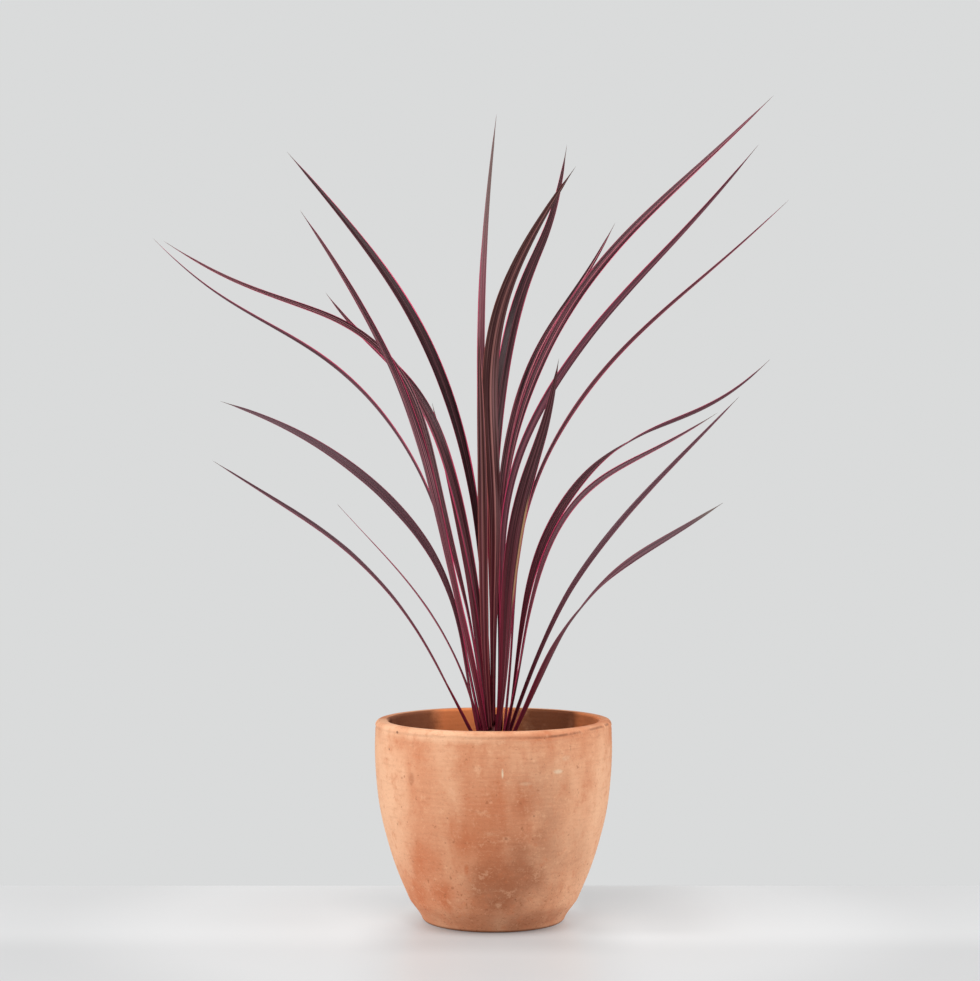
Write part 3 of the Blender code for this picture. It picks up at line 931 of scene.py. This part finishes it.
def midrib(name, rank, leaf):
    """The leaf's midrib as a chain of points that carries the blade's section at each of them."""
    height = FIRST_FOOT + rank * FOOT_STEP
    foot = FOOT_WIDTH + FOOT_WIDTH_PER_STEM_RADIUS * stem_radius(height)
    fold = math.radians(FOOT_FOLD)
    lean = math.radians(leaf.leans[0])
    inward = foot / 2 * math.sin(fold) * math.cos(lean)
    rise = foot / 2 * math.sin(fold) * math.sin(lean)
    clear = stem_radius(height + rise) + BLADE_THICKNESS / 2 + FOOT_GAP
    reach = inward + math.sqrt(clear**2 - (foot / 2 * math.cos(fold)) ** 2)
    seat = math.radians(leaf.seat)
    turned = (
        Vector((math.cos(seat), math.sin(seat), 0)),
        Vector((-math.sin(seat), math.cos(seat), 0)),
    )

    def out(vector):
        """A vector of the leaf's own, turned to the side of the stem where the leaf is seated."""
        return turned[0] * vector.x + turned[1] * vector.y + Vector((0, 0, vector.z))

    here = Vector((reach, 0, height))
    points, sides, faces, halves, thicks, folds = [], [], [], [], [], []
    last = BLADE_ROWS - 1
    for row in range(BLADE_ROWS):
        share = row / last
        _, level, upper = direction(leaf, share)
        roll = math.radians(spread((0, *leaf.rolls), share))
        thinned = blend(1, THINNED_TO, ease((share - 0.5) * 2))
        points.append(out(here))
        sides.append(out(math.cos(roll) * level + math.sin(roll) * upper))
        faces.append(out(math.cos(roll) * upper - math.sin(roll) * level))
        halves.append(0 if row == last else blade_width(share, foot, leaf.width * MM) / 2)
        thicks.append(0 if row in (0, last) else BLADE_THICKNESS / 2 * thinned)
        folds.append(math.radians(blend(FOOT_FOLD, BLADE_FOLD, ease(share / FOLD_OPENS_BY))))
        along, _, _ = direction(leaf, share + 0.5 / last)
        here = here + along * (leaf.length * MM / last)
    mesh = bpy.data.meshes.new(name)
    mesh.from_pydata(points, [(k, k + 1) for k in range(last)], [])
    for title, values in (("side way", sides), ("face way", faces)):
        held = mesh.attributes.new(title, "FLOAT_VECTOR", "POINT")
        held.data.foreach_set("vector", [c for value in values for c in value])
    for title, values in (("half width", halves), ("half thick", thicks), ("fold", folds)):
        mesh.attributes.new(title, "FLOAT", "POINT").data.foreach_set("value", values)
    made = bpy.data.objects.new(name, mesh)
    bpy.context.scene.collection.objects.link(made)
    return made


straps, given = growing_tree(
    "Strap blade",
    ("Rows", "Int", 10),
    ("Columns", "Int", 10),
    ("Veins", "Float", 7.0),
    ("Vein relief", "Float", 0.0),
    ("Keel relief", "Float", 0.0),
    ("Flutter", "Float", 0.0),
    ("Seed", "Float", 0.0),
    ("Finish", "Material", None),
)
columns = plus(straps, given["Columns"], 1)
grid = node(
    straps,
    "GeometryNodeMeshGrid",
    {"Size X": 1.0, "Size Y": 1.0, "Vertices X": columns, "Vertices Y": given["Rows"]},
)
flat = node(straps, "ShaderNodeSeparateXYZ", {"Vector": field_of(straps, "Position")})
# The section runs from the second margin over the top to the first margin, and back beneath.
round_share = plus(straps, flat.outputs["X"], 0.5)
along_share = plus(straps, flat.outputs["Y"], 0.5)
fourth = minus(straps, times(straps, round_share, 4.0), 2.0)
across = minus(straps, 1.0, maths(straps, "ABSOLUTE", fourth))
top_side = maths(straps, "SIGN", minus(straps, 0.0, fourth))
station = node(
    straps,
    "FunctionNodeFloatToInt",
    {"Float": times(straps, along_share, minus(straps, given["Rows"], 1.0))},
    rounding_mode="ROUND",
).outputs[0]


def at_station(title, data_type):
    """What the midrib carries under a title, or its place, at this row of the blade."""
    if title:
        kept = node(
            straps, "GeometryNodeInputNamedAttribute", {"Name": title}, data_type=data_type
        )
        field = kept.outputs[0]
    else:
        field = field_of(straps, "Position")
    picked = node(
        straps,
        "GeometryNodeSampleIndex",
        {"Geometry": given["Geometry"], "Value": field, "Index": station},
        data_type=data_type,
        domain="POINT",
    )
    return picked.outputs[0]


def stretched(vector, *factors):
    """A vector times each of the factors."""
    for factor in factors:
        vector = vector_maths(straps, "SCALE", vector, factor)
    return vector


def together(total, *vectors):
    """The sum of vectors."""
    for vector in vectors:
        total = vector_maths(straps, "ADD", total, vector)
    return total


half = at_station("half width", "FLOAT")
thick = at_station("half thick", "FLOAT")
fold = at_station("fold", "FLOAT")
side_way = at_station("side way", "FLOAT_VECTOR")
face_way = at_station("face way", "FLOAT_VECTOR")
# The fold is rounded at the midrib: soft is the share across without its sign, but never a sharp V.
soft = maths(straps, "SQRT", plus(straps, times(straps, across, across), FOLD_SOFTNESS))
open_share = maths(straps, "COSINE", fold)
rise_share = maths(straps, "SINE", fold)
slope = times(straps, maths(straps, "DIVIDE", across, soft), rise_share)
rippled = node(
    straps,
    "ShaderNodeCombineXYZ",
    {"X": times(straps, along_share, RIPPLES), "Y": given["Seed"], "Z": across},
).outputs[0]
ripple = node(
    straps, "ShaderNodeTexNoise", {"Vector": rippled, "Scale": 1.0, "Detail": 1.0}
).outputs[0]
flutter = times(straps, minus(straps, ripple, 0.5), given["Flutter"])
flutter = times(straps, flutter, times(straps, half, times(straps, across, across)))
lens = minus(straps, 1.0, maths(straps, "POWER", maths(straps, "ABSOLUTE", across), 4.0))
lens = maths(straps, "SQRT", maths(straps, "MAXIMUM", lens, 0.0))
veined = maths(
    straps, "COSINE", times(straps, across, times(straps, given["Veins"], math.tau))
)
veined = times(straps, veined, given["Vein relief"])
keel = maths(straps, "EXPONENT", times(straps, times(straps, across, across), KEEL_SHARPNESS))
keel = times(straps, times(straps, keel, top_side), times(straps, given["Keel relief"], -1.0))
body = plus(straps, 1.0, plus(straps, veined, keel))
lifted = times(straps, times(straps, thick, lens), times(straps, body, top_side))
up_way = together(
    stretched(face_way, open_share),
    stretched(side_way, times(straps, slope, -1.0)),
)
painted_grid = node(
    straps,
    "GeometryNodeStoreNamedAttribute",
    {"Geometry": grid.outputs["Mesh"], "Name": "blade", "Value": grid.outputs["UV Map"]},
    data_type="FLOAT2",
    domain="CORNER",
)
moved = node(
    straps,
    "GeometryNodeSetPosition",
    {
        "Geometry": painted_grid.outputs[0],
        "Position": together(
            at_station("", "FLOAT_VECTOR"),
            stretched(side_way, times(straps, times(straps, half, across), open_share)),
            stretched(face_way, times(straps, times(straps, half, soft), rise_share)),
            stretched(up_way, plus(straps, lifted, flutter)),
        ),
    },
)
closed = node(
    straps, "GeometryNodeMergeByDistance", {"Geometry": moved.outputs[0], "Distance": MERGE_WITHIN}
)
smooth = node(
    straps, "GeometryNodeSetShadeSmooth", {"Geometry": closed.outputs[0], "Shade Smooth": True}
)
real = node(straps, "GeometryNodeRealizeInstances", {"Geometry": smooth.outputs[0]})
send_out(straps, real.outputs[0], given["Finish"])


PINK = srgb(212, 62, 104)
CORAL = srgb(196, 110, 100)
MARGIN_WIDTH = 1.7 * MM
# What the blade's own colour is multiplied by: all over, near the foot for painted shade where the
# leaves crowd each other, and in its dark streaks.
BODY_TONE = (0.84, 0.70, 0.74, 1)
FOOT_SHADE_TONE = (0.36, 0.22, 0.24, 1)
DARK_TONE = (0.38, 0.27, 0.31, 1)
PALE_STREAK = (0.42, 0.30, 0.29, 1)
VEIN_DARK = (0.022, 0.005, 0.008, 1)
VEIN_PALE = srgb(200, 132, 142)
RIB_PALE = srgb(176, 138, 136)
FOOT_RED = srgb(122, 22, 46)
WITHERED = srgb(112, 98, 92)
# One leaf has a torn, tan edge: how far across it lies, and where it starts and ends in metres.
TORN_LEAF = 9
TORN_STRENGTH = 0.85
TORN_TAN = srgb(190, 150, 108)
TORN_ACROSS = 0.74
TORN_FROM = 0.135
TORN_TO = 0.262


def colour_group():
    """Shader group for a blade: body, painted shade low down, pink margins, midrib, streaks, red
    foot and withered tip.
    """
    group = bpy.data.node_groups.new("Blade colours", "ShaderNodeTree")
    input_sockets(group, (
        ("Blade", "Vector", None),
        ("Top", "Color", (0.1, 0.1, 0.1, 1)),
        ("Under", "Color", (0.1, 0.1, 0.1, 1)),
        ("Pink", "Color", (0.5, 0.1, 0.2, 1)),
        ("First margin", "Float", 1.0),
        ("Second margin", "Float", 1.0),
        ("Margin share", "Float", 0.15),
        ("Rib", "Float", 0.5),
        ("Lines", "Float", 0.5),
        ("Length", "Float", 0.5),
        ("Dry", "Float", 0.02),
        ("Deep", "Float", 0.5),
        ("Torn", "Float", 0.0),
        ("Seed", "Float", 0.0),
    ))
    for name, kind in (("Color", "Color"), ("Roughness", "Float"), ("Height", "Float")):
        group.interface.new_socket(name, in_out="OUTPUT", socket_type=f"NodeSocket{kind}")
    ins = group.nodes.new("NodeGroupInput").outputs
    parts = node(group, "ShaderNodeSeparateXYZ", {"Vector": ins["Blade"]}).outputs
    fourth = minus(group, times(group, parts["X"], 4.0), 2.0)
    across = minus(group, 1.0, maths(group, "ABSOLUTE", fourth))
    on_top = maths(group, "LESS_THAN", fourth, 0.0)
    outward = maths(group, "ABSOLUTE", across)
    metres = times(group, parts["Y"], ins["Length"])

    def streaks(fine, long, detail, extra):
        """Noise in streaks along the blade, which differ on its two sides."""
        place = {
            "X": times(group, across, fine),
            "Y": times(group, metres, long),
            "Z": plus(group, ins["Seed"], plus(group, times(group, on_top, 5.0), extra)),
        }
        vector = node(group, "ShaderNodeCombineXYZ", place).outputs[0]
        made = node(
            group,
            "ShaderNodeTexNoise",
            {"Vector": vector, "Scale": 1.0, "Detail": detail, "Roughness": 0.6},
        )
        return made.outputs["Fac"]

    broad = streaks(2.2, 4.0, 2.0, 0.0)
    fine = streaks(9.0, 5.0, 2.0, 11.0)
    hair = streaks(8.0, 6.0, 1.0, 23.0)
    body = tinted(group, on_top, ins["Under"], ins["Top"])
    body = tinted(group, 1.0, body, BODY_TONE, "MULTIPLY")
    # Painted shade over the lower part of the blade, where the leaves crowd each other.
    deep = ramp(group, parts["Y"], ins["Deep"], 0.05)
    body = tinted(group, deep, body, tinted(group, 1.0, body, FOOT_SHADE_TONE, "MULTIPLY"))
    dark = tinted(group, 1.0, body, DARK_TONE, "MULTIPLY")
    colour = tinted(group, ramp(group, broad, 0.36, 0.66), body, dark)
    pale = tinted(group, 0.35, tinted(group, 0.5, body, ins["Pink"]), PALE_STREAK)
    colour = tinted(group, times(group, ramp(group, fine, 0.54, 0.68), ins["Lines"]), colour, pale)
    colour = tinted(group, ramp(group, hair, 0.35, 0.7, 0, 0.25), colour, dark)
    # Dark and pale veins a few mm apart that keep on along the blade.
    pitch = maths(group, "DIVIDE", 0.5, ins["Margin share"])
    for extra, shade, reach, strength in (
        (41.0, VEIN_DARK, 0.15, 0.75),
        (31.0, VEIN_PALE, 0.05, 0.5),
    ):
        off_line = maths(group, "ABSOLUTE", minus(group, streaks(pitch, 1.6, 0.0, extra), 0.5))
        vein = times(group, ramp(group, off_line, reach, 0.01, 0, strength), ins["Lines"])
        colour = tinted(group, vein, colour, shade)
    rib = times(group, ramp(group, outward, 0.16, 0.05), ins["Rib"])
    rib = times(group, rib, ramp(group, broad, 0.25, 0.55, 0.55, 1.0))
    colour = tinted(group, rib, colour, tinted(group, 0.5, ins["Pink"], RIB_PALE))
    first = maths(group, "GREATER_THAN", across, 0.0)
    strength = plus(
        group,
        times(group, first, ins["First margin"]),
        times(group, minus(group, 1.0, first), ins["Second margin"]),
    )
    # The margin is ragged inside, and broader where it is strong and towards the foot.
    broadened = times(
        group,
        ramp(group, fine, 0.3, 0.7, 0.6, 1.5),
        ramp(group, parts["Y"], 0.55, 0.08, 1.0, 2.1),
        maths(group, "MAXIMUM", strength, 1.0),
    )
    inner = minus(group, 1.0, times(group, ins["Margin share"], broadened))
    margin = ramp(group, outward, inner, plus(group, inner, 0.07))
    colour = tinted(group, times(group, margin, strength), colour, ins["Pink"])
    off_tear = maths(group, "ABSOLUTE", minus(group, across, TORN_ACROSS))
    torn = times(
        group,
        ramp(group, off_tear, 0.2, 0.08),
        ramp(group, metres, TORN_FROM, TORN_FROM + 0.025),
        ramp(group, metres, TORN_TO, TORN_TO - 0.027),
        ins["Torn"],
    )
    colour = tinted(group, torn, colour, TORN_TAN)
    blush = ramp(group, metres, 0.3, 0.02, 0.0, 0.85)
    blush = times(group, blush, ramp(group, fine, 0.36, 0.62, 0.15, 1.0))
    colour = tinted(group, blush, colour, FOOT_RED)
    withered = maths(group, "DIVIDE", minus(group, ins["Length"], metres), ins["Dry"])
    withered = plus(group, withered, times(group, minus(group, hair, 0.5), 0.6))
    colour = tinted(group, ramp(group, withered, 1.3, 0.4, 0, 0.8), colour, WITHERED)
    out = group.nodes.new("NodeGroupOutput")
    group.links.new(colour, out.inputs["Color"])
    group.links.new(ramp(group, hair, 0.2, 0.8, 0.34, 0.5), out.inputs["Roughness"])
    group.links.new(plus(group, hair, times(group, fine, 0.5)), out.inputs["Height"])
    return group


blade_colours = colour_group()
VEIN_SPACING_MM = 3.2
FEWEST_VEINS = 3
VEIN_RELIEF = 0.06
KEEL_RELIEF = 0.35
FLUTTER = 0.22
SEED_STEP = 3.7
for rank, leaf in enumerate(LEAVES):
    name = f"strap_leaf_{rank + 1:02d}"
    finish, tree, surface, place = new_material(name)
    painted = tree.nodes.new("ShaderNodeGroup")
    painted.node_tree = blade_colours
    unrolled = node(tree, "ShaderNodeUVMap", uv_map="blade")
    tree.links.new(unrolled.outputs["UV"], painted.inputs["Blade"])
    for title, value in (
        ("Top", srgb(*leaf.top)),
        ("Under", srgb(*leaf.under)),
        ("Pink", CORAL if leaf.slot == "leaf_olive" else PINK),
        ("First margin", leaf.edges[0]),
        ("Second margin", leaf.edges[1]),
        ("Margin share", MARGIN_WIDTH / (leaf.width * MM)),
        ("Rib", leaf.rib),
        ("Lines", leaf.lines),
        ("Length", leaf.length * MM),
        ("Dry", leaf.dry * MM),
        ("Deep", leaf.deep),
        ("Torn", TORN_STRENGTH if rank + 1 == TORN_LEAF else 0.0),
        ("Seed", rank * SEED_STEP),
    ):
        painted.inputs[title].default_value = value
    tree.links.new(painted.outputs["Color"], surface.inputs["Base Color"])
    tree.links.new(painted.outputs["Roughness"], surface.inputs["Roughness"])
    surface.inputs["Specular IOR Level"].default_value = 0.14
    bumped(tree, surface, painted.outputs["Height"], 0.15, 0.3 * MM)
    blade = grown(
        midrib(name, rank, leaf),
        straps,
        {
            "Rows": BLADE_ROWS,
            "Columns": BLADE_COLUMNS,
            "Veins": max(leaf.width / VEIN_SPACING_MM, FEWEST_VEINS),
            "Vein relief": VEIN_RELIEF,
            "Keel relief": KEEL_RELIEF,
            "Flutter": FLUTTER,
            "Seed": rank * SEED_STEP,
            "Finish": finish,
        },
    )
    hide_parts(f"leaf_{rank + 1:02d}")
    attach(blade, "root")


bpy.context.view_layer.update()
